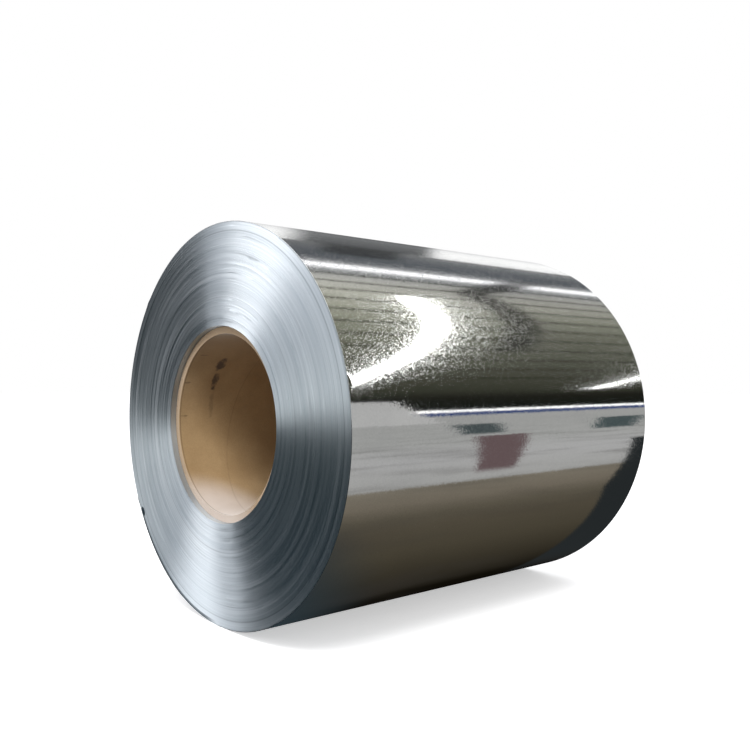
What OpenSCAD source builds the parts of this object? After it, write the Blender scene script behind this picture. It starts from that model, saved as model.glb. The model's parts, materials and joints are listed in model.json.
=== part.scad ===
// Galvanised steel coil, lying on its side, wound on a spiral-wound paper tube.
// The coil's axis runs along Y. The origin is on the floor, under the middle of the coil.

/* [Strip] */
// Width of the strip, which is the length of the wound coil
strip_w = 1250; // [600:10:1600]
// Outside diameter of the wound coil
coil_od = 1130; // [850:5:1900]
// Rounding where the outermost turn's edge meets the barrel
rim_r = 1.5; // [0.5:0.1:3]

/* [Core tube] */
// Inside diameter of the paper tube, which is the mandrel's size
core_id = 508; // [300:1:620]
// Wall of the paper tube
core_wall = 22; // [6:1:30]
// How far the tube's ends sit inside the coil's ends
core_recess = 18; // [0:1:60]
// Chamfer on the tube's cut inner edges
core_chamfer = 1.5; // [0.5:0.1:3]
// Radial gap between the tube and the innermost turn
core_gap = 0.3; // [0.1:0.1:1]

/* [Turns on the ends] */
// Number of bands of turns that show as steps on each end
turn_bands = 22; // [6:1:40]
// Deepest that a band of turns sits back from the end plane
band_setback = 2; // [0.5:0.1:5]
// Width of the outermost band, whose turns sit a little back from the rest
outer_band_w = 26; // [10:1:50]

/* [Hidden] */

coil_r = coil_od / 2;
core_r = core_id / 2 + core_wall;
bore_r = core_r + core_gap;
core_len = strip_w - 2 * core_recess;
band_w = (coil_r - outer_band_w - bore_r) / turn_bands;

// Successive bands are turned by this angle on a sine, so that no two neighbours sit alike
golden_angle = 137.5;
outer_setback = band_setback / 2;

// A round outline needs enough facets that the drawn model follows the true circle
$fn = 180;

// How far band i sits back from the end plane: about half of the bands reach the plane itself
function setback(i) = i == turn_bands
    ? outer_setback
    : band_setback * max(0, sin(golden_angle * (i + 1)));

// Radius at which band i starts; band number turn_bands is the wider outermost one
function band_start(i) = bore_r + band_w * i;

// Outline of one end from the bore to the rim, as [radius, distance from the coil's middle]
function end_steps(half) = [
    for (i = [0 : turn_bands])
        for (side = [0, 1])
            [
                side == 0 || i < turn_bands ? band_start(i + side) : coil_r - rim_r,
                half - setback(i)
            ]
];

// Quarter-round from the outermost band to the barrel
function rim_round(half) = [
    for (a = [80 : -20 : 0])
        [coil_r - rim_r + rim_r * cos(a), half - outer_setback - rim_r + rim_r * sin(a)]
];

// Half of the coil's section, from the near end's bore round to the far end's
function coil_outline() =
    let (far_end = concat(end_steps(strip_w / 2), rim_round(strip_w / 2)),
         count = len(far_end))
    concat(far_end, [for (i = [count - 1 : -1 : 0]) [far_end[i][0], -far_end[i][1]]]);

// Lays a turned shape on its side, with its axis along Y and its barrel on the floor
module laid_down() {
    translate([0, 0, coil_r])
        rotate([-90, 0, 0])
            children();
}

// The wound strip: one turned solid with its bore, and its turns stepped on both ends
module coil() {
    color("silver")
        laid_down()
            rotate_extrude()
                polygon(coil_outline());
}

// Half of the tube's section, chamfered inside at both ends
function core_outline() =
    let (half = core_len / 2, inner_r = core_id / 2)
    [
        [inner_r, half - core_chamfer],
        [inner_r + core_chamfer, half],
        [core_r, half],
        [core_r, -half],
        [inner_r + core_chamfer, -half],
        [inner_r, core_chamfer - half]
    ];

// The paper tube that the strip is wound on
module core_tube() {
    color("burlywood")
        laid_down()
            rotate_extrude()
                polygon(core_outline());
}

coil();
core_tube();
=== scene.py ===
# %% [markdown]
# # A galvanised steel coil on its paper core
#
# A steel works winds thin strip, bright with zinc, onto a paper tube and ships it as a coil.
# This lesson models one that lies on its side. Its three looks are the mirror-bright barrel with
# its fine zinc crystals, the two ends, where several hundred cut edges lie side by side like the
# grooves of a record, and the brown paper tube in the middle.
#
# The CAD frame comes first. It holds the real sizes, and every number below is worked out from it.

# %% Load the frame
import json
import math

import bpy
import numpy as np
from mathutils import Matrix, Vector


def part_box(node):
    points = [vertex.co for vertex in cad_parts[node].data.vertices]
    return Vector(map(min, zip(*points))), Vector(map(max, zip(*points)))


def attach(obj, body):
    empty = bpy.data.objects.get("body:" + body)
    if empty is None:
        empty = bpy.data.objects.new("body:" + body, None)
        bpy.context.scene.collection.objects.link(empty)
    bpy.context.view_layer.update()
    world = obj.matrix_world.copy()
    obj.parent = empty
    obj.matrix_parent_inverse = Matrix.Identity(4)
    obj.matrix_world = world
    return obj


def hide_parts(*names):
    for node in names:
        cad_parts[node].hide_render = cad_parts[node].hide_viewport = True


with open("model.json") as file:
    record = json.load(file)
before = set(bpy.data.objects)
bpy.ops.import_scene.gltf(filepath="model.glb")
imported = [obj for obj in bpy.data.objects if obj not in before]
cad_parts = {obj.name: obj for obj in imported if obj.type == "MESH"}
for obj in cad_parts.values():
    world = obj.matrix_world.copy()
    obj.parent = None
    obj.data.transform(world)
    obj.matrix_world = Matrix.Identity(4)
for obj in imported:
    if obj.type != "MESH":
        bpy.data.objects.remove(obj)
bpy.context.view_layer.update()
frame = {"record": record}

# %% Sizes taken from the frame
coil_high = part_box("coil")[1]
tube_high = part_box("core_tube")[1]
mandrel = next(m for m in frame["record"]["mounts"] if m["name"] == "mandrel_bore")

COIL_R = coil_high.x
AXIS_Z = mandrel["pos_m"][2]
HALF_WIDTH = coil_high.y
TUBE_BORE_R = mandrel["dims"]["r_mm"] / 1000
TUBE_R = tube_high.x
TUBE_HALF = tube_high.y
MM = 0.001
rng = np.random.default_rng(20)
print(f"coil {2 * COIL_R:.3f} m across, {2 * HALF_WIDTH:.3f} m wide, tube bore {2 * TUBE_BORE_R:.3f} m")

# %% [markdown]
# ## From a formula to a mesh
#
# Every piece here is a surface: a grid of points worked out by numpy in one go. A grid can close
# on itself in one direction, like a pipe, or in both, like a ring. One helper turns a grid into
# quads, so each piece only has to say where its points are.

# %% Grid to mesh
def grid_faces(rows, columns, close_rows, close_columns):
    """Quads between neighbouring points of a grid; a closed direction joins its last line to its first."""
    row = np.arange(rows if close_rows else rows - 1)[:, None]
    column = np.arange(columns if close_columns else columns - 1)[None, :]
    next_row = (row + 1) % rows
    next_column = (column + 1) % columns
    corners = (row * columns + column, row * columns + next_column,
               next_row * columns + next_column, next_row * columns + column)
    return np.stack(np.broadcast_arrays(*corners), -1).reshape(-1, 4)


def make_piece(name, points, faces, crease_degrees):
    """A mesh object at the origin from an array of points and one of quads, smooth up to a crease angle."""
    mesh = bpy.data.meshes.new(name)
    flat = points.reshape(-1, 3)
    mesh.vertices.add(len(flat))
    mesh.vertices.foreach_set("co", flat.astype(np.float32).ravel())
    mesh.loops.add(faces.size)
    mesh.loops.foreach_set("vertex_index", faces.astype(np.int32).ravel())
    mesh.polygons.add(len(faces))
    mesh.polygons.foreach_set("loop_start", np.arange(0, faces.size, 4, dtype=np.int32))
    mesh.update(calc_edges=True)
    mesh.validate()
    mesh.polygons.foreach_set("use_smooth", np.ones(len(faces), bool))
    mesh.set_sharp_from_angle(angle=math.radians(crease_degrees))
    piece = bpy.data.objects.new(name, mesh)
    bpy.context.scene.collection.objects.link(piece)
    print(f"{name}: {len(flat)} points, {2 * len(faces)} triangles")
    return piece


def around_axis(radius, along, angle):
    """Points at a radius, a distance along Y and an angle up from +X about the coil's axis."""
    radius, along, angle = np.broadcast_arrays(radius, along, angle)
    return np.stack([radius * np.cos(angle), along, AXIS_Z + radius * np.sin(angle)], -1)


def ripple(angle, along, waves, size):
    """A sum of a few slow waves in angle and along the axis, no larger than size."""
    total = 0
    for turns, per_metre, share, phase in waves:
        total = total + share * np.sin(turns * angle + per_metre * along + phase)
    return size * total / sum(share for _, _, share, _ in waves)


# %% [markdown]
# ## The wound turns
#
# Under the outermost turn the coil is a stack of a few hundred turns. Their edges never line up
# exactly: groups of turns stand in or out by up to a millimetre or so, and every cut edge leans its
# own way. A flat disc with a picture of rings would not catch the light like that, and a true
# spiral of each turn would be millions of triangles. So the ends are built as about ninety rings,
# each the width of a few turns, whose two sides stand at different depths. The group depths follow
# the same golden-angle rule as the CAD solid.

# %% Wound turns
STRIP_THICK = 0.7 * MM
TURN_BANDS = 22
OUTER_BAND = 26 * MM
BAND_SETBACK = 0.8 * MM
OUTER_SETBACK = BAND_SETBACK / 2
GOLDEN_DEGREES = 137.5
BORE_R = TUBE_R + 0.3 * MM
BODY_R = COIL_R - 2.4 * STRIP_THICK
RINGS = 92
SEGMENTS = 256
# How far a ring stands back at least, how much that varies, how its face leans, how it wanders round the coil
RING_SETBACK = 0.25 * MM
RING_UNEVEN = 0.22 * MM
RING_LEAN = 0.045 * MM
RING_WANDER = 0.12 * MM
LEAST_DEPTH = 0.02 * MM
# The step from one ring to the next leans by this much each way, so that no two corners fall together
WALL_LEAN = 0.01 * MM


def band_depth(radius):
    """How far the turns at a radius sit back: the positive part of a sine, one golden angle a band."""
    band_width = (COIL_R - OUTER_BAND - BORE_R) / TURN_BANDS
    band = np.floor((radius - BORE_R) / band_width)
    depth = BAND_SETBACK * np.maximum(0, np.sin(np.radians(GOLDEN_DEGREES * (band + 1))))
    return np.where(radius > COIL_R - OUTER_BAND, OUTER_SETBACK, depth)


def ring_edges():
    """Inner and outer radius of each ring, with uneven widths that still fill the winding."""
    widths = rng.uniform(0.5, 1.5, RINGS)
    edges = BORE_R + (BODY_R - BORE_R) * np.concatenate([[0], np.cumsum(widths)]) / widths.sum()
    return edges[:-1], edges[1:]


def end_profile():
    """Radius, depth, wander and its phase along one end, from bore to rim, two points a ring.

    A ring's depth is its band's depth plus a setback and a random share, less its lean at the inner side and
    plus its lean at the outer side.
    """
    inner, outer = ring_edges()
    middle = (inner + outer) / 2
    lean = rng.normal(0, RING_LEAN, RINGS)
    base = band_depth(middle) + RING_SETBACK + rng.uniform(0, RING_UNEVEN, RINGS)
    radius = np.stack([inner + WALL_LEAN, outer - WALL_LEAN], -1).ravel()
    depth = np.stack([base - lean, base + lean], -1).ravel()
    wander = np.repeat(rng.uniform(0, RING_WANDER, RINGS), 2)
    phase = np.repeat(rng.uniform(0, 2 * np.pi, RINGS), 2)
    return radius, np.maximum(depth, LEAST_DEPTH), wander, phase


def wound_turns():
    """The profile of both ends, joined by the bore and the hidden barrel, carried once round the axis.

    Depth at an angle is the profile's depth plus wander times one plus the sine of the angle and the phase.
    """
    angle = np.linspace(0, 2 * np.pi, SEGMENTS, endpoint=False)[None, :]
    sides = []
    for side in (-1, 1):
        radius, depth, wander, phase = (a[:, None] for a in end_profile())
        back = depth + wander * (1 + np.sin(angle + phase))
        points = around_axis(radius, side * (HALF_WIDTH - back), angle)
        sides.append(points if side < 0 else points[::-1])
    points = np.concatenate(sides)
    return make_piece("wound_turns", points, grid_faces(len(points), SEGMENTS, True, True)[:, ::-1], 25)


turns = wound_turns()

# %% [markdown]
# ## The outermost turn
#
# What shows as the barrel is one last turn of strip. It is a sheet, so it gets a real thickness,
# and it follows a spiral: its radius drops by one thickness in one turn, which leaves a small step
# where its tail end lies on the turn below. A sheet pulled tight over a coil is never a perfect
# cylinder either. It rides a few hundredths of a millimetre up and down, which is enough to bend
# the reflections. Handling has bent its edge up in three places.

# %% Outer wrap
TAIL_ANGLE = math.radians(-118)
LAP = math.radians(3)
WRAP_STEPS = 420
WRAP_COLUMNS = 72
WRAP_BACK = 1.0 * MM
# The strip's edge is not quite straight, and this is the size of its waves
EDGE_WAVE = 0.25 * MM
# The sheet is modelled a hair thinner than the strip, so that its lap does not touch the turn below
SHEET_THICK = 0.96 * STRIP_THICK
# Ripple of the barrel, and how far the sheet stays inside the coil's radius to leave room for it
BARREL_RIPPLE = 0.05 * MM
RIPPLE_ROOM = 0.06 * MM
# Waves as (turns of the angle, radians per metre along the axis, share, phase)
BARREL_WAVES = [
    (2, 1.3, 1.0, 0.4),
    (3, -2.1, 0.7, 2.0),
    (5, 3.7, 0.35, 4.4),
    (1, 6.1, 0.5, 1.1),
    (8, 5.0, 0.15, 3.0),
]
# Places where the near edge is bent: angle in degrees, width, height, and reach inwards from the edge
BENT_EDGES = [
    (12.5, 7 * MM, 1.7 * MM, 4 * MM),
    (-151, 9 * MM, 3.4 * MM, 9 * MM),
    (139, 12 * MM, 2.2 * MM, 8 * MM),
]


def edge_lift(angle, from_edge):
    """Height of the bent places: a bell across the width that dies away quickly from the edge inwards."""
    lift = 0
    for degrees, width, height, reach in BENT_EDGES:
        across = (angle - math.radians(degrees) + np.pi) % (2 * np.pi) - np.pi
        lift = lift + height * np.exp(-((across * COIL_R / width) ** 2) - (from_edge / reach) ** 2)
    return lift


def outer_wrap():
    """A spiral sheet: its radius falls by one thickness a turn, with ripple and the bent places added.

    The inner face lies one sheet's thickness further in. Columns crowd towards the edges as a sine does.
    """
    swept = np.linspace(0, 2 * np.pi + LAP, WRAP_STEPS)[:, None]
    across = np.sin(np.linspace(-np.pi / 2, np.pi / 2, WRAP_COLUMNS))[None, :]
    angle = TAIL_ANGLE + swept
    edge = HALF_WIDTH - WRAP_BACK - EDGE_WAVE * (1 + np.sin(3 * angle + 1) * np.sin(7 * angle))
    along = across * edge
    radius = COIL_R - RIPPLE_ROOM - STRIP_THICK * swept / (2 * np.pi)
    radius = radius + ripple(angle, along, BARREL_WAVES, BARREL_RIPPLE)
    radius = radius + edge_lift(angle, HALF_WIDTH + along)
    outside = around_axis(radius, along, angle)
    inside = around_axis(radius - SHEET_THICK, along, angle)
    points = np.concatenate([outside, inside[:, ::-1]], 1)
    columns = 2 * WRAP_COLUMNS
    faces = grid_faces(WRAP_STEPS, columns, False, True)
    column = np.arange(WRAP_COLUMNS - 1)
    start = np.stack([column, columns - 1 - column, columns - 2 - column, column + 1], -1)
    end = start[:, ::-1] + (WRAP_STEPS - 1) * columns
    return make_piece("outer_wrap", points, np.concatenate([faces, start, end]), 35)


wrap = outer_wrap()

# %% [markdown]
# ## The paper tube
#
# The core is wound from several plies of kraft paper, glued in a spiral and sawn to length, so its
# cut ends show the plies as fine rings and its inner edge is a little torn. A lathe profile with a
# groove for each ply makes that, and the torn edge is a wandering chamfer.

# %% Paper tube
PLIES = 9
TUBE_SEGMENTS = 288
TUBE_ROWS = 60
CHAMFER = 1.5 * MM
TORN_DEPTH = 0.5 * MM
OUT_OF_ROUND = 0.35 * MM
# How far the bore wall, the torn lip and the outside keep inside the paper of the CAD tube
BORE_ROOM = 0.4 * MM
LIP_ROOM = 0.5 * MM
OUTSIDE_ROOM = 0.3 * MM
TORN_WAVES = [(5, 0, 1.0, 0.2), (13, 0, 0.8, 1.7), (29, 0, 0.7, 0.5), (61, 0, 0.6, 2.9), (97, 0, 0.4, 1.3)]
WALL_WAVES = [(2, 0.6, 1, 0.3), (3, 2.2, 0.6, 2), (7, 5, 0.4, 1)]
# Groove of one ply, as shares of its width and depths in millimetres, and how unevenly plies are sawn
PLY_STEPS = np.array([0.12, 0.5, 0.88, 1.0])
PLY_GROOVE = np.array([0.05, 0.0, 0.05, 0.35])
PLY_UNEVEN = (0.05, 0.5)


def ply_rim():
    """Radius and depth across the sawn end, from the chamfer out, with a shallow groove between plies."""
    edges = np.linspace(TUBE_BORE_R + CHAMFER, TUBE_R - 0.4 * MM, PLIES + 1)
    width = edges[1] - edges[0]
    radius = (edges[:-1, None] + width * PLY_STEPS).ravel()
    groove = np.tile(PLY_GROOVE, PLIES) * MM
    return radius, groove + np.repeat(rng.uniform(*PLY_UNEVEN, PLIES), len(PLY_STEPS)) * MM


def paper_core():
    """Bore wall, torn chamfer, plies and outer wall as one closed profile, carried round the axis.

    The bore's radius has slow waves added, and the chamfer's has the quicker waves of the torn edge.
    """
    angle = np.linspace(0, 2 * np.pi, TUBE_SEGMENTS, endpoint=False)[None, :]
    torn = ripple(angle, 0, TORN_WAVES, TORN_DEPTH)
    wall_y = np.linspace(-TUBE_HALF + 3 * CHAMFER, TUBE_HALF - 3 * CHAMFER, TUBE_ROWS)[:, None]
    out_of_round = ripple(angle, wall_y, WALL_WAVES, OUT_OF_ROUND)
    wall = around_axis(TUBE_BORE_R + BORE_ROOM + out_of_round, wall_y, angle)
    rim_radius, rim_depth = (a[:, None] for a in ply_rim())
    ends = {}
    for side in (-1, 1):
        lip = around_axis(TUBE_BORE_R + LIP_ROOM + torn, side * (TUBE_HALF - CHAMFER), angle)
        edge = around_axis(TUBE_BORE_R + CHAMFER * 0.8 + 0.6 * torn, side * (TUBE_HALF - 0.1 * MM), angle)
        rim = around_axis(rim_radius, side * (TUBE_HALF - rim_depth), angle)
        ends[side] = np.concatenate([lip, edge, rim])
    outer_y = np.linspace(-0.995, 0.995, 9)[:, None] * TUBE_HALF
    outer = around_axis(TUBE_R - OUTSIDE_ROOM, outer_y, angle)
    points = np.concatenate([wall, ends[1], outer[::-1], ends[-1][::-1]])
    return make_piece("paper_core", points, grid_faces(len(points), TUBE_SEGMENTS, True, True), 40)


core = paper_core()

# %% [markdown]
# ## Putting each piece in place of its CAD part
#
# Both steel pieces replace the one CAD solid of the wound strip. The paper piece replaces the tube.

# %% Ride and replace
for piece, node, slot in ((turns, "coil", "galvanised_strip"), (wrap, "coil", "galvanised_strip"),
                          (core, "core_tube", "kraft_paper")):
    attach(piece, "root")
    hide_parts(node)

# %% [markdown]
# ## Writing shader maths as formulas
#
# A finish is a formula of where a point lies. Wiring that by hand takes dozens of Math nodes, so
# one small class wraps a socket: adding two wires adds a Math node, and so on. Any other node comes
# from its make method.

# %% Wire
class Wire:
    """A socket of a node tree: arithmetic on wires adds Math nodes, and make adds any other node."""

    def __init__(self, tree, socket=None):
        self.tree = tree
        self.socket = socket

    def make(self, kind, settings=None, inputs=None, output=0):
        """Adds a node, with its settings first, then its inputs as numbers, tuples or wires.

        Returns the output asked for, by place or by name.
        """
        node = self.tree.nodes.new(kind)
        for name, value in (settings or {}).items():
            if name == "stops":
                fill_ramp(node.color_ramp, value)
            else:
                setattr(node, name, value)
        for key, value in (inputs or {}).items():
            if isinstance(value, Wire):
                self.tree.links.new(value.socket, node.inputs[key])
            else:
                node.inputs[key].default_value = value
        return Wire(self.tree, node.outputs[output] if node.outputs else None)

    def math(self, operation, *values):
        """A Math node on the values, in order."""
        return self.make("ShaderNodeMath", {"operation": operation}, dict(enumerate(values)))

    def vector(self, operation, *values):
        """A Vector Math node on the values, in order."""
        return self.make("ShaderNodeVectorMath", {"operation": operation}, dict(enumerate(values)))

    def __add__(self, other):
        return self.math("ADD", self, other)

    def __sub__(self, other):
        return self.math("SUBTRACT", self, other)

    def __mul__(self, other):
        return self.math("MULTIPLY", self, other)

    def __truediv__(self, other):
        return self.math("DIVIDE", self, other)

    def __pow__(self, other):
        return self.math("POWER", self, other)

    def __radd__(self, other):
        return self.math("ADD", other, self)

    def __rsub__(self, other):
        return self.math("SUBTRACT", other, self)

    def __rmul__(self, other):
        return self.math("MULTIPLY", other, self)

    def step(self, low, high):
        """0 below low, 1 above high and a smooth slope between; high may be the smaller one."""
        return self.make("ShaderNodeMapRange", {"interpolation_type": "SMOOTHSTEP"},
                         {"Value": self, "From Min": low, "From Max": high})

    def between(self, low, high, soft):
        """1 between low and high, 0 outside, with slopes of the given softness."""
        return self.step(low - soft, low + soft) * self.step(high + soft, high - soft)

    def scaled(self, amount):
        """This vector times a number."""
        return self.make("ShaderNodeVectorMath", {"operation": "SCALE"}, {0: self, "Scale": amount})

    def parts(self):
        """The three components of a vector."""
        split = self.make("ShaderNodeSeparateXYZ", None, {"Vector": self}).socket.node
        return [Wire(self.tree, socket) for socket in split.outputs]

    def blend(self, first, second):
        """A colour that goes from first to second as this wire goes from 0 to 1."""
        return self.make("ShaderNodeMix", {"data_type": "RGBA", "clamp_factor": True},
                         {0: self, 6: first, 7: second}, 2)

    def noise(self, dimensions, **inputs):
        """A Noise Texture's factor; dimensions is 1D or 3D and inputs are its sockets by name."""
        return self.make("ShaderNodeTexNoise", {"noise_dimensions": dimensions},
                         {name.replace("_", " "): value for name, value in inputs.items()})


def fill_ramp(ramp, stops):
    """Sets a colour ramp's stops from (place, colour) pairs."""
    while len(ramp.elements) > 1:
        ramp.elements.remove(ramp.elements[-1])
    for index, (place, colour) in enumerate(stops):
        element = ramp.elements[0] if index == 0 else ramp.elements.new(place)
        element.position = place
        element.color = (*colour, 1)


def new_material(name):
    """An empty material; returns it with a first wire to build from."""
    material = bpy.data.materials.new(name)
    material.use_nodes = True
    material.node_tree.nodes.clear()
    return material, Wire(material.node_tree)


def finish_surface(wire, inputs, fixed):
    """A Principled shader with linked and fixed inputs, joined to the material's output."""
    surface = wire.make("ShaderNodeBsdfPrincipled", None, {**inputs, **fixed})
    wire.make("ShaderNodeOutputMaterial", None, {"Surface": surface})


def place_on_coil(wire):
    """(position, its x, y and z from the coil's axis, its distance from the axis) as wires."""
    position = wire.make("ShaderNodeTexCoord", output="Object")
    x, y, z = position.parts()
    up = z - AXIS_Z
    return position, x, y, up, (x * x + up * up) ** 0.5


# %% [markdown]
# ## Zinc with a fine spangle
#
# Molten zinc freezes on the strip in crystals a few millimetres across. The clearest third of them
# are as bright as a mirror, and the others are hazy by degrees, because their facets stand a little
# askew. Seen from a distance that is what makes the salt-and-pepper halo round a bright reflection,
# while edges of dark things still reflect sharply. One way would be a bumpy surface, but a bump
# blurs everything alike. A Voronoi pattern gives each crystal its own roughness and its own lean.

# %% Zinc
SPANGLE_PER_METRE = 390
MIRROR_ROUGHNESS = 0.03
HAZE_ROUGHNESS = 0.16
# How far a crystal's facet leans when it is clear, and how much further when it is quite hazy
CLEAR_LEAN = 0.006
HAZE_LEAN = 0.038


def zinc_finish():
    """Roughness and normal set crystal by crystal.

    Haze is a random number for each crystal, plus some slow noise, pushed through a smooth step. Roughness
    and lean grow with it.
    """
    material, wire = new_material("bright_zinc")
    position, _, _, up, _ = place_on_coil(wire)
    spangle = {"Vector": position, "Scale": SPANGLE_PER_METRE}
    crystal = wire.make("ShaderNodeTexVoronoi", None, spangle, "Color")
    shade = crystal.parts()[1]
    dust = wire.noise("3D", Vector=position, Scale=60.0, Detail=3.0)
    spread = wire.make("ShaderNodeTexWhiteNoise", None, {"Vector": crystal}, "Value")
    # Dust and hands have dulled the upper half; the lower half keeps most of its mirror
    handled = 0.25 + up.step(0.05, 0.20) * 0.75
    haze = (spread + dust * 0.3 - 0.15).step(0.35, 1.0) * handled
    smudge = wire.noise("3D", Vector=position, Scale=3.1, Detail=3.0).step(0.48, 0.78)
    roughness = MIRROR_ROUGHNESS + haze * HAZE_ROUGHNESS + smudge * 0.02
    askew = wire.vector("SUBTRACT", crystal, (0.5, 0.5, 0.5))
    lean = askew.scaled(CLEAR_LEAN + haze * HAZE_LEAN)
    normal = wire.make("ShaderNodeNewGeometry", output="Normal")
    normal = wire.vector("NORMALIZE", wire.vector("ADD", normal, lean))
    colour = (shade * 0.35 + smudge * 0.4).blend((0.80, 0.80, 0.785, 1), (0.68, 0.685, 0.68, 1))
    finish_surface(wire, {"Base Color": colour, "Roughness": roughness, "Normal": normal}, {"Metallic": 1.0})
    return material


# %% [markdown]
# ## Cut edges
#
# Each turn's edge was sheared, which leaves fine marks that run round the coil. Light that falls on
# such grooves spreads across them and not along them, so the ends show two bright fans and dark
# wedges between. That is anisotropy: the shader's tangent circles the axis, and a quarter turn of
# it stretches the highlight along the radius.
#
# The rings could be a picture wrapped round the end, but a formula stays sharp at any distance.
# Noise that changes fast with the radius and slowly along the rings gives every group of edges its
# own slope, tone and roughness. Rings whose burrs were knocked dull are a little less metallic, so
# they show as pale lines where the end is dark and vanish where it is bright. The near end also
# carries a painted dark reflection above the axis on the -X side, a rim that stands back in
# painted shade and a nick, and each rim has a thin dark line of painted shade.

# %% Cut edges
# How many rings of each kind of noise go to a metre of radius
FINE_PER_METRE = 300
GROUPS_PER_METRE = 110
BROAD_PER_METRE = 40
# Distinct grooves between turns: share of the coil's radius, half-width in millimetres, depth of tone
GROOVES = [(0.954, 3.0, 0.30), (0.63, 3.0, 0.25), (0.525, 2.5, 0.2)]
# A nick near the rim: its angle and how far in it lies, with half its width in degrees and half its length
NICK_ANGLE = -146.5
NICK_INSET = 13 * MM
NICK_HALF_DEGREES = 1.6
NICK_HALF_LENGTH = 9 * MM
# The part of the rim that stands back in shade, by angle about the axis
SHADED_RIM = (-147, -94)
# The part of the near end painted darker as a painted dark reflection, by angle
PAINTED_DARK_ANGLES = (112, 172)


def cut_edge_finish():
    """Ring by ring, noise tilts the normal along the radius and round it, and sets tone and roughness.

    Painted dark reflection, painted shade on the rim, grooves and nick add up to one shade, which blends the
    metal's colour towards black.
    """
    material, wire = new_material("cut_strip_edges")
    position, x, y, up, radius = place_on_coil(wire)
    fine_place = {"X": radius * FINE_PER_METRE, "Y": x * 1.5, "Z": up * 1.5}
    fine_place = wire.make("ShaderNodeCombineXYZ", None, fine_place)
    fine = wire.noise("3D", Vector=fine_place, Scale=1.0, Detail=2.0, Roughness=0.8)
    group_place = {"X": radius * GROUPS_PER_METRE, "Y": x * 2, "Z": up * 2}
    group_place = wire.make("ShaderNodeCombineXYZ", None, group_place)
    group = wire.noise("3D", Vector=group_place, Scale=1.0, Detail=1.0, Roughness=0.6)
    broad = wire.noise("1D", W=radius * BROAD_PER_METRE + 7.0, Scale=1.0, Detail=2.0, Roughness=0.6)
    patch = wire.noise("3D", Vector=position, Scale=4.5, Detail=3.0)
    near_end = y.step(0.1, -0.1)
    outwards = wire.vector("NORMALIZE", wire.make("ShaderNodeCombineXYZ", None, {"X": x, "Z": up}))
    around = wire.vector("CROSS_PRODUCT", (0.0, 1.0, 0.0), outwards)
    slope = (fine - 0.5) * 0.035 + (group - 0.5) * 0.018 + (broad - 0.5) * 0.02
    twist = (fine - 0.5) * 0.015 + (group - 0.5) * 0.010
    twist = twist + (broad - 0.5) * 0.01 + (patch - 0.5) * 0.02
    normal = wire.make("ShaderNodeNewGeometry", output="Normal")
    normal = wire.vector("ADD", normal, outwards.scaled(slope))
    normal = wire.vector("NORMALIZE", wire.vector("ADD", normal, around.scaled(twist)))
    tone = (fine * 0.9 + group * 0.45 + broad * 0.15 + patch * 0.3 - 0.4).step(0.1, 0.9)
    colour = tone.blend((0.60, 0.65, 0.68, 1), (0.80, 0.84, 0.87, 1))
    # Burred rings are dull, more so on the -X side of the near end
    dull = (fine * 0.9 + group * 0.4 - 0.15).step(0.38, 0.72)
    metallic = 1.0 - dull * (0.045 + x.step(0.1, -0.3) * (0.3 + near_end * 0.7) * 0.20)
    angle = wire.math("ARCTAN2", up, x) * (180 / math.pi)
    inset = COIL_R - radius
    # Painted dark reflection: the near end's turns above the axis on the -X side are darkened
    painted_dark_reflection = angle.between(*PAINTED_DARK_ANGLES, 12) * near_end * (0.6 + group * 0.8)
    # Painted shade: the rim on the lower -X side of the near end, and a thin dark line round each rim
    shade = inset.step(13 * MM, 8 * MM) * angle.between(*SHADED_RIM, 4) * near_end * 0.85
    shade = shade + inset.step(6 * MM, 1 * MM) * 0.2 + painted_dark_reflection * (0.22 + inset.step(0.15, 0.02) * 0.24)
    for place, half_width, depth in GROOVES:
        shade = shade + wire.math("ABSOLUTE", radius - COIL_R * place).step(half_width * MM, 0.0) * depth
    nick = ((angle - NICK_ANGLE) / NICK_HALF_DEGREES) ** 2.0
    nick = nick + ((inset - NICK_INSET) / NICK_HALF_LENGTH) ** 2.0
    shade = shade + nick.step(1.3, 0.7) * near_end
    colour = shade.blend(colour, (0.035, 0.055, 0.07, 1))
    roughness = 0.31 + group * 0.06 + patch * 0.05
    # Without a tangent of its own the shader would take one that circles Z, and the fans would be lost
    tangent = wire.make("ShaderNodeTangent", {"direction_type": "RADIAL", "axis": "Y"})
    linked = {"Base Color": colour, "Roughness": roughness, "Metallic": metallic, "Normal": normal}
    linked["Tangent"] = tangent
    finish_surface(wire, linked, {"Anisotropic": 1.0, "Anisotropic Rotation": 0.25})
    return material


# %% [markdown]
# ## Kraft paper
#
# Kraft paper is brown and matt, with short darker fibres and the faint spiral joint of its inner
# ply. Its sawn ends are paler than its faces, the bottom of the near mouth carries a pale patch of
# painted light, and a dark band of painted shade lies just inside each mouth. Handling has left dark
# blots inside, with a faint run beside them and small marks near the mouth. Each mark is a bell
# with an edge made ragged by noise, which is simpler than painting a picture of them.

# %% Kraft paper
PLY_PITCH = 0.42
# Dark marks in the tube: angle and half-width in degrees, depth from the coil's end and half-length, strength
SMEARS = [
    (138, 7, 0.128, 0.020, 1.0),
    (152, 9, 0.128, 0.014, 1.0),
    (168, 14, 0.130, 0.010, 0.35),
    (177, 0.9, 0.036, 0.016, 0.45),
    (153, 0.9, 0.032, 0.016, 0.45),
    (129, 0.9, 0.050, 0.016, 0.45),
]
# The painted patch of light at the bottom of the near mouth: angle and half-width in degrees, and length
PAINTED_LIGHT_PATCH = (-98, 36, 0.19)


def smear(angle, inwards, ragged, mark):
    """A soft blot on the bore wall: the squares of its offsets in angle and depth, plus noise, below 1."""
    degrees, half_degrees, depth, half_length, strength = mark
    off_angle = (angle - math.radians(degrees)) / math.radians(half_degrees)
    off_depth = (inwards - depth) / half_length
    return (off_angle * off_angle + off_depth * off_depth + ragged * 2.2 - 1.1).step(1.0, 0.0) * strength


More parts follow.
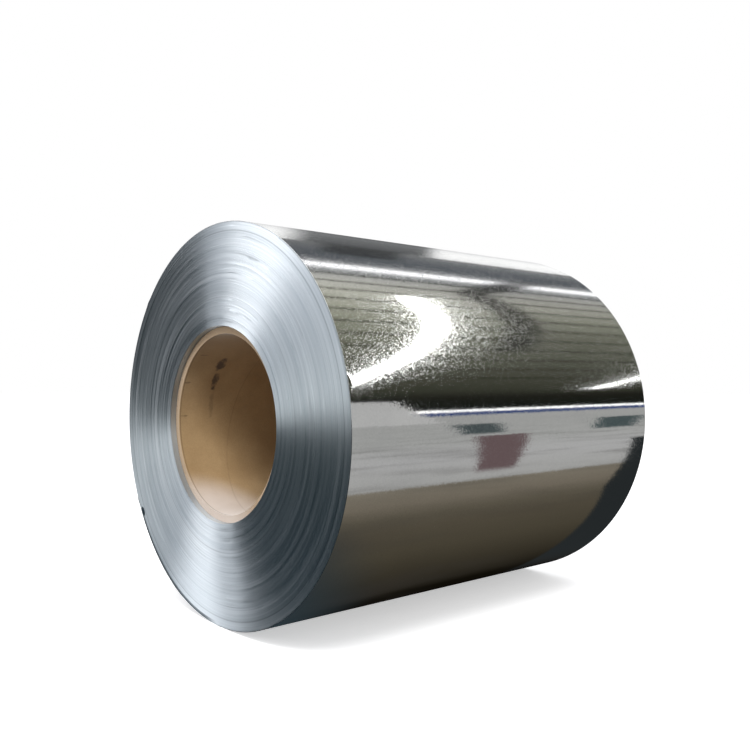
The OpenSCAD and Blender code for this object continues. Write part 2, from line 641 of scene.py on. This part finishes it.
def kraft_finish():
    """Brown paper: fibres and clouds from noise, one spiral joint, paler sawn ends and dark smears."""
    material, wire = new_material("kraft_tube")
    position, x, y, up, radius = place_on_coil(wire)
    angle = wire.math("ARCTAN2", up, x)
    fibre = wire.noise("3D", Vector=position, Scale=190.0, Detail=4.0, Roughness=0.7)
    cloud = wire.noise("3D", Vector=position, Scale=9.0, Detail=3.0)
    turn = wire.math("FRACT", angle / (2 * math.pi) + y / PLY_PITCH + 2.0)
    joint = wire.math("ABSOLUTE", turn - 0.5).step(0.010, 0.002) * 0.5
    sawn = wire.math("ABSOLUTE", y).step(TUBE_HALF - 2.4 * MM, TUBE_HALF - 1.2 * MM)
    plies = wire.math("SINE", radius * (2 * math.pi * PLIES / (TUBE_R - TUBE_BORE_R - CHAMFER)))
    inwards = y + HALF_WIDTH
    ragged = wire.noise("3D", Vector=position, Scale=60.0, Detail=4.0)
    smears = sum(smear(angle, inwards, ragged, mark) for mark in SMEARS)
    tone = (cloud * 0.7 + fibre * 0.5 - 0.1).step(0.2, 0.85)
    colour = tone.blend((0.33, 0.212, 0.098, 1), (0.47, 0.322, 0.165, 1))
    # Painted light: a pale patch on the bore wall at the bottom of the near mouth
    degrees, half_degrees, length = PAINTED_LIGHT_PATCH
    painted_light = ((angle - math.radians(degrees)) / math.radians(half_degrees)) ** 2.0
    painted_light = (painted_light + (inwards / length) ** 2.0).step(1.7, 0.0)
    colour = (painted_light * (0.5 + cloud * 0.5)).blend(colour, (0.77, 0.69, 0.64, 1))
    colour = (joint * 0.35).blend(colour, (0.19, 0.115, 0.06, 1))
    # Painted shade: a dark band on the bore wall just inside each mouth
    lip = wire.math("ABSOLUTE", y).between(TUBE_HALF - 6 * MM, TUBE_HALF - 2.4 * MM, 1.5 * MM)
    colour = (lip * (0.2 + cloud * 0.6)).blend(colour, (0.10, 0.062, 0.035, 1))
    colour = (sawn * (0.35 + plies * 0.3)).blend(colour, (0.47, 0.37, 0.29, 1))
    colour = (smears * (0.55 + cloud * 0.8)).blend(colour, (0.05, 0.030, 0.018, 1))
    height = fibre * 0.25 - joint * 0.8 + cloud * 0.3
    normal = wire.make("ShaderNodeBump", None, {"Strength": 0.5, "Distance": 0.6 * MM, "Height": height})
    roughness = 0.72 + fibre * 0.2
    finish_surface(wire, {"Base Color": colour, "Roughness": roughness, "Normal": normal},
                   {"Specular IOR Level": 0.4, "Sheen Weight": 0.45, "Sheen Roughness": 0.45})
    return material


# %% Put the finishes on
turns.data.materials.append(cut_edge_finish())
wrap.data.materials.append(zinc_finish())
core.data.materials.append(kraft_finish())
for piece in (turns, wrap, core):
    print(f"{piece.name} wears {piece.data.materials[0].name}")

# %% [markdown]
# ## The studio
#
# A mirror shows its room, so lighting a bright coil means building that room. The picture gets a
# plain white surround and a pale floor. The metal reflects a quiet hall instead. A full model of a
# hall would do that too, but a formula of the direction is lighter and easier to adjust. Light Path
# tells the two apart in the sky, and ray visibility does so for the floor, which is therefore made
# twice: a pale one that the picture shows, and the hall's own, which only metal sees.

# %% Floor
FLOOR_HALF = 30.0


def floor_sheet(name, drop, front):
    """A flat rectangle at floor level that starts at y = front; drop keeps two of them apart."""
    x, y = np.meshgrid([-FLOOR_HALF, FLOOR_HALF], [front, FLOOR_HALF], indexing="ij")
    points = np.stack([x, y, np.full_like(x, -drop)], -1)
    sheet = make_piece(name, points, grid_faces(2, 2, False, False)[:, ::-1], 30)
    return sheet


floor = floor_sheet("floor", 0.1 * MM, -FLOOR_HALF)
floor.visible_glossy = False
floor.visible_diffuse = False
mirrored_floor = floor_sheet("floor_in_the_metal", 0.2 * MM, -HALF_WIDTH)
mirrored_floor.visible_camera = False
mirrored_floor.visible_diffuse = False
mirrored_floor.visible_shadow = False

material, wire = new_material("pale_floor")
finish_surface(wire, {}, {"Base Color": (0.9, 0.9, 0.9, 1), "Roughness": 1.0, "Specular IOR Level": 0.0,
                          "Emission Color": (1, 1, 1, 1), "Emission Strength": 0.50})
floor.data.materials.append(material)

# How bright the hall's floor looks, by distance from the line the coil stands on: boards, then concrete;
# the boards darken to black towards the coil as painted shade
FLOOR_TONES = [
    (0.0, (0, 0, 0)),
    (0.22, (0.006, 0.005, 0.003)),
    (0.32, (0.032, 0.027, 0.018)),
    (0.50, (0.075, 0.064, 0.044)),
    (0.65, (0.095, 0.081, 0.058)),
    (0.76, (0.12, 0.105, 0.078)),
    (0.88, (0.19, 0.165, 0.13)),
    (1.07, (0.23, 0.205, 0.165)),
    (1.10, (0.43, 0.43, 0.425)),
    (1.7, (0.48, 0.48, 0.485)),
    (3.0, (0.43, 0.435, 0.43)),
]
FLOOR_SPAN = 3.0
# The floor fades into this at its front edge, as the room does below its horizon
DARK_FRONT = (0.03, 0.045, 0.055)
# Things that stand in the hall: first and last bearing from the near end's foot as y over x, nearest and
# farthest x, and colour
FLOOR_PROPS = [
    ((1.10, 1.245), (4.1, 13.0), (0.07, 0.09, 0.095)),
    ((1.13, 1.335), (1.25, 3.5), (0.15, 0.105, 0.11)),
    ((1.62, 1.82), (3.5, 13.0), (0.07, 0.095, 0.10)),
]


def hall_floor_finish():
    """A glow by distance from the coil, darkened towards it as painted shade, with streaks along it, a dark
    wedge and a few things standing on it.

    Its front edge fades into the dark.
    """
    material, wire = new_material("hall_floor")
    x, y, _ = wire.make("ShaderNodeTexCoord", output="Object").parts()
    away = wire.math("ABSOLUTE", x) / FLOOR_SPAN
    # Painted shade: the tones fall to black towards the coil
    stops = [(distance / FLOOR_SPAN, tone) for distance, tone in FLOOR_TONES]
    colour = wire.make("ShaderNodeValToRGB", {"stops": stops}, {"Fac": away})
    along = wire.make("ShaderNodeCombineXYZ", None, {"X": x * 5, "Y": y * 1.1})
    streak = wire.noise("3D", Vector=along, Scale=1.0, Detail=3.0).step(0.45, 0.75)
    colour = (streak * 0.35).blend(colour, (0.05, 0.045, 0.04, 1))
    # A dark wedge lies beyond a line that slants away from the coil, and slants more past x = 0.76
    dark_wedge_edge = 0.22 + x * 1.17 + wire.math("MAXIMUM", x - 0.76, 0.0) * 0.5
    dark_wedge = (y - dark_wedge_edge).step(0.0, 0.04) * x.between(0.2, 2.0, 0.1)
    colour = dark_wedge.blend(colour, (0.022, 0.026, 0.028, 1))
    bearing = (y + HALF_WIDTH) / x
    for (first, last), (near, far), tone in FLOOR_PROPS:
        prop = bearing.between(first, last, 0.012) * x.between(near, far, 0.06 * near)
        colour = prop.blend(colour, (*tone, 1))
    colour = (y + HALF_WIDTH).step(0.0, 0.45).blend((*DARK_FRONT, 1), colour)
    glow = wire.make("ShaderNodeEmission", None, {"Color": colour})
    wire.make("ShaderNodeOutputMaterial", None, {"Surface": glow})
    return material


mirrored_floor.data.materials.append(hall_floor_finish())

# %% [markdown]
# ## The hall above the floor
#
# The far half of the hall is what the barrel reflects: bands that run beside the coil, from a wall
# with a blue line and a strip light on the right, up a ribbed roof with a rafter and two skylights,
# and down to lights on the left. The near half is what the near end reflects: lights that fan out
# from one low point, and a lit patch of floor. The two blend into each other across the coil.

# %% The far half of the hall
# Its bands: angle about the coil's axis, from the right-hand horizon over the top to the left, and colour
HALL_BANDS = [
    # Wall, blue line and strip light
    (0, (0.40, 0.405, 0.40)),
    (3.1, (0.42, 0.425, 0.42)),
    (3.4, (0.03, 0.06, 0.19)),
    (5.1, (0.03, 0.06, 0.19)),
    (5.3, (1.6, 1.6, 1.6)),
    (6.5, (1.6, 1.6, 1.6)),
    # Roof, paler towards the top
    (6.8, (0.008, 0.010, 0.008)),
    (14, (0.015, 0.016, 0.012)),
    (19, (0.045, 0.047, 0.034)),
    (34, (0.082, 0.085, 0.064)),
    (46, (0.118, 0.122, 0.094)),
    (58, (0.165, 0.170, 0.132)),
    (70, (0.26, 0.265, 0.215)),
    (82, (0.40, 0.40, 0.35)),
    (94, (0.42, 0.42, 0.40)),
    (97, (0.24, 0.25, 0.25)),
    (100, (0.30, 0.31, 0.32)),
    # Strip light past the top
    (102.4, (1.6, 1.6, 1.65)),
    (104.8, (1.6, 1.6, 1.65)),
    (106.5, (0.34, 0.35, 0.36)),
    # Left side
    (110, (0.13, 0.14, 0.155)),
    (113, (0.095, 0.105, 0.12)),
    (120, (0.14, 0.15, 0.165)),
    (129, (0.20, 0.205, 0.21)),
    (131, (0.12, 0.125, 0.13)),
    (150, (0.19, 0.195, 0.20)),
    (180, (0.08, 0.08, 0.085)),
]
ROOF_PITCH = math.tan(math.radians(30))
# Lengths on the roof, whose ridge is at height 1; a skylight's half-width is a share of its place
RIB_PITCH = 0.1034
RAFTER = (1.11, 1.21)
SKYLIGHTS = (0.935, 1.85)
SKYLIGHT_HALF = 0.02
EAVE = 1.1
# A pale wall on the right stands this many degrees high and ends this far along the hall
WALL_TOP = 13.0
WALL_END = 0.98
WALL_FALL = 120


def hall(wire, direction):
    """Colour of the far half of the hall: bands that run beside the coil, and a pitched, ribbed roof.

    A direction meets the roof at x and y divided by z plus the pitch times the size of x.
    """
    x, y, z = direction.parts()
    height = wire.math("ARCTAN2", z, x) * (180 / math.pi)
    run = y / (x * x + z * z) ** 0.5
    stops = [(degrees / 180, tone) for degrees, tone in HALL_BANDS]
    colour = wire.make("ShaderNodeValToRGB", {"stops": stops}, {"Fac": height / 180})
    drop = wire.math("MAXIMUM", z + wire.math("ABSOLUTE", x) * ROOF_PITCH, 0.01)
    roof_x = x / drop
    roof_y = y / drop
    # Dark ribs that run beside the coil, paler near the near end, and one rafter across them
    rib = wire.math("ABSOLUTE", wire.math("FRACT", roof_x / RIB_PITCH + 10.5) - 0.5).step(0.20, 0.04)
    colour = (rib * height.between(24, 98, 2.0) * (0.42 + height / 250)).blend(colour, (0.02, 0.02, 0.015, 1))
    colour = colour.scaled(1 + roof_y.step(1.3, 0.7) * height.between(30, 95, 6.0) * 0.5)
    rafter = roof_y.between(*RAFTER, 0.03) * height.between(45, 108, 6.0)
    colour = (rafter * 0.92).blend(colour, (0.02, 0.02, 0.02, 1))
    # A dark corner high on the left
    corner = run.between(0.80, 0.97, 0.03) * height.between(117, 131, 2.5)
    colour = (corner * 0.75).blend(colour, (0.02, 0.022, 0.022, 1))
    # The pale wall on the right
    wall_top = wire.math("MINIMUM", WALL_TOP, WALL_TOP - (run - WALL_END) * WALL_FALL)
    colour = (wall_top - height).step(0.0, 0.5).blend(colour, (0.53, 0.53, 0.53, 1))
    # Lights low on the left, with a gap between them
    light = height.between(129.5, 175, 0.7) * (1 - run.step(0.70, 0.78) + run.step(1.02, 1.08))
    light = light * (1.0 - height.step(138, 160) * 0.35)
    for place in SKYLIGHTS:
        strip = roof_y.between(place - SKYLIGHT_HALF * place, place + SKYLIGHT_HALF * place, SKYLIGHT_HALF)
        light = light + strip * roof_x.between(0.13, EAVE, 0.02) * (9.0 / place ** 2)
    light = wire.make("ShaderNodeCombineXYZ", None, {"X": light, "Y": light, "Z": light})
    return wire.vector("ADD", colour, light)


# %% The near half of the hall
# Brightness by bearing in degrees about one low point, so that its lights spread like a fan
FAN_POINT = (-0.848, -0.059)
FAN_TONES = [
    (-180, (0.02, 0.035, 0.045)),
    (-60, (0.035, 0.05, 0.06)),
    (0, (0.045, 0.06, 0.065)),
    (9, (1.0, 1.05, 1.07)),
    (30, (0.80, 0.84, 0.88)),
    (53, (0.68, 0.73, 0.80)),
    (62, (2.5, 2.52, 2.60)),
    (83, (3.0, 3.02, 3.10)),
    (87, (0.9, 0.97, 1.07)),
    (90, (0.09, 0.13, 0.18)),
    (95, (0.005, 0.020, 0.034)),
    (180, (0.015, 0.035, 0.05)),
]
# A dim spot above that point: its place in x and z, its half-width and half-height
DIM_SPOT = (-0.865, 0.07, 0.09, 0.18)
# A lit patch of floor, as a wedge that opens downwards from its own low point
PATCH_POINT = (-0.826, -0.235)
PATCH_BEARINGS = (-123, -73.5)


def front_room(wire, direction):
    """Colour of the near half of the hall: a ramp over the bearing about the fan's point.

    A dim spot and the lit patch are laid over it, and all of it grows dimmer towards the sides.
    """
    x, y, z = direction.parts()
    bearing = wire.math("ARCTAN2", z - FAN_POINT[1], x - FAN_POINT[0]) * (0.5 / math.pi) + 0.5
    stops = [(degrees / 360 + 0.5, tone) for degrees, tone in FAN_TONES]
    colour = wire.make("ShaderNodeValToRGB", {"stops": stops}, {"Fac": bearing})
    spot = ((x - DIM_SPOT[0]) / DIM_SPOT[2]) ** 2.0 + ((z - DIM_SPOT[1]) / DIM_SPOT[3]) ** 2.0
    beside = y.step(-0.28, -0.14)
    colour = colour.scaled((1.0 - spot.step(1.5, 0.3) * 0.85) * (1.0 - beside * 0.6))
    low = wire.math("ARCTAN2", z - PATCH_POINT[1], x - PATCH_POINT[0]) * (180 / math.pi)
    return (low.between(*PATCH_BEARINGS, 3) * (1.0 - beside)).blend(colour, (2.05, 2.12, 2.22, 1))


# %% Sky
def sky():
    """White to the camera, soft white to matt surfaces and the hall to shiny ones."""
    world = bpy.data.worlds.new("studio")
    world.use_nodes = True
    world.node_tree.nodes.clear()
    world.cycles.sampling_method = "NONE"
    bpy.context.scene.world = world
    wire = Wire(world.node_tree)
    direction = wire.vector("NORMALIZE", wire.make("ShaderNodeTexCoord", output="Generated"))
    _, y, z = direction.parts()
    far_half = z.step(-0.03, -0.10).blend(hall(wire, direction), (*DARK_FRONT, 1))
    room = y.step(-0.30, 0.08).blend(front_room(wire, direction), far_half)
    ambient = z.step(-0.5, 0.8).blend((0.30, 0.30, 0.31, 1), (0.98, 0.98, 1.0, 1))
    camera = wire.make("ShaderNodeLightPath", output="Is Camera Ray")
    glossy = wire.make("ShaderNodeLightPath", output="Is Glossy Ray")
    colour = camera.blend(glossy.blend(ambient, room), (1.0, 1.0, 1.0, 1))
    background = wire.make("ShaderNodeBackground", None, {"Color": colour, "Strength": 1.0})
    wire.make("ShaderNodeOutputWorld", None, {"Surface": background})
    print(f"sky: {len(world.node_tree.nodes)} nodes")


sky()

# %% [markdown]
# ## Lamps
#
# The paper does not mirror the hall, so two soft lamps in front of the near end light it: a key
# from above on the right, and a weaker fill from low on the left. Metal would show them as bright
# squares, so they are hidden from it.

# %% Lamps
def soft_light(name, place, target, size, watts):
    """A square area light that shines on matt surfaces only."""
    light = bpy.data.lights.new(name, "AREA")
    light.size = size
    light.energy = watts
    lamp = bpy.data.objects.new(name, light)
    lamp.location = place
    lamp.rotation_mode = "QUATERNION"
    lamp.rotation_quaternion = (Vector(target) - Vector(place)).to_track_quat("-Z", "Y")
    lamp.visible_glossy = False
    lamp.visible_camera = False
    bpy.context.scene.collection.objects.link(lamp)
    print(f"{name}: {watts} W, {size} m square")


soft_light("key", (1.96, -2.23, 3.66), (0, -HALF_WIDTH, AXIS_Z), 1.3, 115)
soft_light("fill", (-1.6, -3.4, 0.9), (0, -HALF_WIDTH, AXIS_Z), 1.2, 30)

# %% [markdown]
# ## Camera
#
# A camera a little above the coil's middle, to the right of its near end. Its distance is in coil
# radii, so that the view keeps its shape if the coil's size changes. It looks a little past the
# coil's axis, and a small shift of the lens puts the coil back in the frame.

# %% Camera
CAMERA_AZIMUTH = math.radians(46.53)
CAMERA_HEIGHT = math.radians(2.90)
CAMERA_RADII = 4.666
AIM_AZIMUTH = math.radians(52.31)
AIM_HEIGHT = math.radians(-0.125)
LENS_IN_SENSOR_WIDTHS = 1.0646667
LENS_SHIFT = 0.1


def bearing(azimuth, height):
    """Unit vector from the coil towards a viewer: azimuth 0 faces the near end, 90 the +X side."""
    flat = math.cos(height)
    return Vector((math.sin(azimuth) * flat, -math.cos(azimuth) * flat, math.sin(height)))


camera = bpy.data.objects.new("camera", bpy.data.cameras.new("camera"))
camera.data.lens = camera.data.sensor_width * LENS_IN_SENSOR_WIDTHS
camera.data.shift_x = LENS_SHIFT
standpoint = bearing(CAMERA_AZIMUTH, CAMERA_HEIGHT) * CAMERA_RADII * COIL_R
camera.location = Vector((0, 0, AXIS_Z)) + standpoint
camera.rotation_mode = "QUATERNION"
camera.rotation_quaternion = (-bearing(AIM_AZIMUTH, AIM_HEIGHT)).to_track_quat("-Z", "Y")
bpy.context.scene.collection.objects.link(camera)
bpy.context.scene.camera = camera
bpy.context.scene.view_settings.view_transform = "Standard"
print(f"camera: {standpoint.length:.2f} m away, lens {camera.data.lens:.1f} mm")
